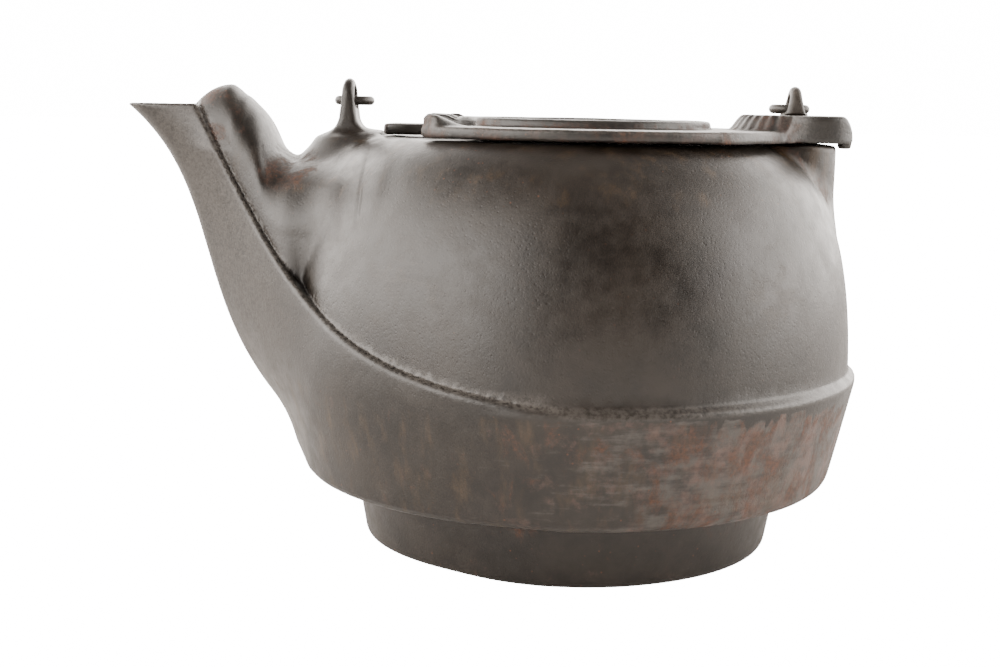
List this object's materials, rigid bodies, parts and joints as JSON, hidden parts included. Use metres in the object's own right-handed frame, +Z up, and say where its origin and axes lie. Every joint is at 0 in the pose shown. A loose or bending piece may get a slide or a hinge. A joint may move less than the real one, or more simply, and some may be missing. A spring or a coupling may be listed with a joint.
{
  "type": "cast iron tea kettle",
  "caption": "Antique cast iron tea kettle with a broad lipped spout, a lid that swivels on its rear ear, and a wire bail with a coiled grip.",
  "frame": {"origin": "centre of the flat foot's underside", "axes": "+Z up; the spout points along -X, so the rear ear is on +X; the bail is folded towards +Y"},
  "size_m": [0.3202, 0.2677, 0.1981],
  "materials": {
    "body_iron": "satin black-brown iron with rust and mineral staining",
    "lid_iron": "satin grey-black iron, lightly rusted at its edges",
    "ear_iron": "dark iron with brown rust",
    "hardware_iron": "rust-brown iron",
    "wire_iron": "dark drawn iron wire",
    "grip_wire": "grey coiled iron wire, worn"
  },
  "bodies": {
    "kettle": {"kettle_body": "body_iron", "rear_ear_post": "ear_iron", "lid_washer": "hardware_iron", "pivot_washer": "hardware_iron", "pivot_nut": "hardware_iron"},
    "lid": {"swivel_lid": "lid_iron", "lid_stop_pin": "lid_iron"},
    "bail": {"bail": "wire_iron", "bail_grip": "grip_wire"}
  },
  "joints": [
    {"name": "bail_swing", "type": "hinge", "parent": "kettle", "child": "bail", "pos_m": [0, 0, 0.1885], "axis": [1, 0, 0], "range_deg": [0, 180]},
    {"name": "lid_swivel", "type": "hinge", "parent": "kettle", "child": "lid", "pos_m": [0.0946, 0, 0.176], "axis": [0, 0, 1], "range_deg": [0, 105]}
  ]
}
